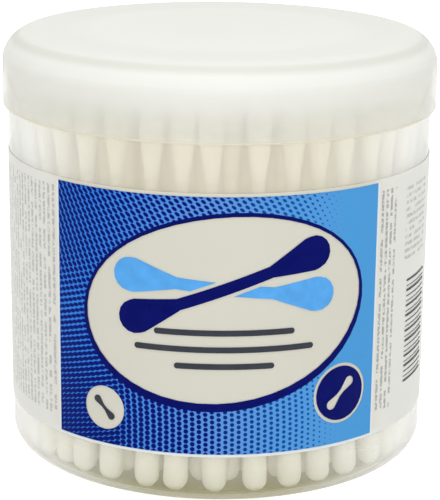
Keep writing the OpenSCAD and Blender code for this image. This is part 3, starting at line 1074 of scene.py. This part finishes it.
# %% Geometry Nodes: lumps and cotton
lump = step(
    "ShaderNodeTexNoise",
    {
        "Vector": step("GeometryNodeInputPosition"),
        "Scale": sums(standing, "DIVIDE", 1.0, given["Lump size"]),
        "Detail": 2.0,
    },
)
swell = sums(standing, "SUBTRACT", lump, 0.5)
swell = product(standing, swell, given["Lump height"])
push = step(
    "ShaderNodeVectorMath",
    {0: step("GeometryNodeInputNormal"), "Scale": swell},
    operation="SCALE",
)
lumpy = step("GeometryNodeSetPosition", {"Geometry": solid, "Offset": push})
soft = step("GeometryNodeSetShadeSmooth", {"Geometry": lumpy})
dressed = step(
    "GeometryNodeSetMaterial", {"Geometry": soft, "Material": given["Cotton"]}
)
put(standing, "NodeGroupOutput", {0: dressed})
print("tree:", standing.name, "with", len(standing.nodes), "nodes")


# %% Standing the tips
LUMP_SIZE, LUMP_HEIGHT = 2.6 * MM, 0.35 * MM


def stand_tips(name, places, tip):
    """A plain mesh of one cotton tip on each place."""
    points = bpy.data.meshes.new(name)
    points.from_pydata([p for p, _ in places], [], [])
    way = points.attributes.new("direction", "FLOAT_VECTOR", "POINT")
    way.data.foreach_set("vector", np.array([a for _, a in places], np.float32).ravel())
    made = bpy.data.objects.new(name, points)
    bpy.context.scene.collection.objects.link(made)
    modifier = made.modifiers.new("tips", "NODES")
    modifier.node_group = standing
    values = {
        "Tip": tip,
        "Lump size": LUMP_SIZE,
        "Lump height": LUMP_HEIGHT,
        "Cotton": cotton,
    }
    for item in standing.interface.items_tree:
        if item.in_out == "INPUT" and item.name in values:
            modifier[item.identifier] = values[item.name]
    seen = made.evaluated_get(bpy.context.evaluated_depsgraph_get())
    mesh = bpy.data.meshes.new_from_object(seen)
    made.modifiers.clear()
    made.data = mesh
    mesh.name = name
    print(f"{name}: {len(places)} tips, {len(mesh.polygons)} faces")
    return made


# %% Outer ring and inner tips
OUTER_RING = 36.5 * MM


def is_outer(tip):
    return math.hypot(tip[0][0], tip[0][1]) > OUTER_RING


for side, places in (("lower", lower_places), ("upper", upper_places)):
    outer = [p for p in places if is_outer(p)]
    inner = [p for p in places if not is_outer(p)]
    for part, some, tip in (("outer", outer, fine_tip), ("inner", inner, plain_tip)):
        piece = stand_tips(f"cotton_{side}_{part}", some, tip)
        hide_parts(f"{side}_tips")
        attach(piece, "tub")

# %% [markdown]
# ## Sticks
#
# The sticks are thin white plastic rods. They could be turned again like the tips,
# but the CAD cylinders already have the right shape and hardly show between the tips.
# So they keep their meshes and only get handled plastic.

# %% Sticks
stick_plastic, tree = material("stick plastic")
finish = place(
    tree, handled, {"Scale": 300.0, "Roughness": 0.35, "Spread": 0.06, "Wave": 0.03}
)
show(tree, skin(tree, colour(252, 248, 238), finish, gloss=0.5))
dress(stick_plastic, "swab_sticks")

# %% [markdown]
# ## Studio
#
# The photograph is bright and nearly without shadow, like an object in a light tent.
# A panorama of a studio could light it, but a plain white world and two lamps have
# fewer values to balance. The world gives most of the light. One large lamp high up
# gives the forms their shading, and a weaker one low in front, a little to the right,
# fills the lower wall.
#
# The background has to be white, but more light would bleach the tub. So floor and
# world are lifted only for rays that see them: straight, in a mirror or through glass.

# %% Floor
def seen_share(tree):
    """1 for a ray that sees the studio, 0 for one that only carries its light."""
    path = put(tree, "ShaderNodeLightPath").outputs
    indirect = sums(
        tree, "MAXIMUM", path["Is Glossy Ray"], path["Is Transmission Ray"]
    )
    return sums(tree, "MAXIMUM", path["Is Camera Ray"], indirect)


FLOOR_HALF, FLOOR_GREY, FLOOR_LIFT = 4.0, 0.88, 0.5
floor_mesh = bpy.data.meshes.new("floor")
floor_mesh.from_pydata(
    [(x, y, 0) for x, y in ((-1, -1), (1, -1), (1, 1), (-1, 1))], [], [(0, 1, 2, 3)]
)
for vert in floor_mesh.vertices:
    vert.co *= FLOOR_HALF
floor = bpy.data.objects.new("floor", floor_mesh)
bpy.context.scene.collection.objects.link(floor)
floor_paint, tree = material("floor")
grey_floor = (FLOOR_GREY, FLOOR_GREY, FLOOR_GREY, 1)
matt = put(tree, "ShaderNodeBsdfDiffuse", {"Color": grey_floor}).outputs[0]
lift_strength = product(tree, seen_share(tree), FLOOR_LIFT)
lift = put(tree, "ShaderNodeEmission", {"Strength": lift_strength}).outputs[0]
show(tree, put(tree, "ShaderNodeAddShader", {0: matt, 1: lift}).outputs[0])
floor_mesh.materials.append(floor_paint)
print("floor:", 2 * FLOOR_HALF, "m wide")

# %% World
WORLD_LIGHT, WORLD_SEEN = 0.67, 1.0
WHITE = (1, 1, 1, 1)
world = bpy.data.worlds.new("light tent")
bpy.context.scene.world = world
world.use_nodes = True
tree = world.node_tree
tree.nodes.clear()
tent = mix(
    tree,
    seen_share(tree),
    put(tree, "ShaderNodeBackground", {0: WHITE, 1: WORLD_LIGHT}).outputs[0],
    put(tree, "ShaderNodeBackground", {0: WHITE, 1: WORLD_SEEN}).outputs[0],
)
put(tree, "ShaderNodeOutputWorld", {"Surface": tent})
print("world:", world.name)


# %% Lamps
def lamp(name, where, towards, size, power):
    """A round area lamp at a place in metres, turned towards a point, in watts."""
    data = bpy.data.lights.new(name, "AREA")
    data.shape, data.size, data.energy = "DISK", size, power
    made = bpy.data.objects.new(name, data)
    aim = Vector(towards) - Vector(where)
    made.location = where
    made.rotation_euler = aim.to_track_quat("-Z", "Y").to_euler()
    bpy.context.scene.collection.objects.link(made)
    print("lamp:", name)


MIDDLE = (0, 0, 0.045)
lamp("softbox above", (-0.02, -0.2, 0.8), MIDDLE, 0.7, 3.2)
lamp("front fill", (0.12, -0.83, 0.3), MIDDLE, 0.6, 1.4)
bpy.context.scene.view_settings.view_transform = "Standard"
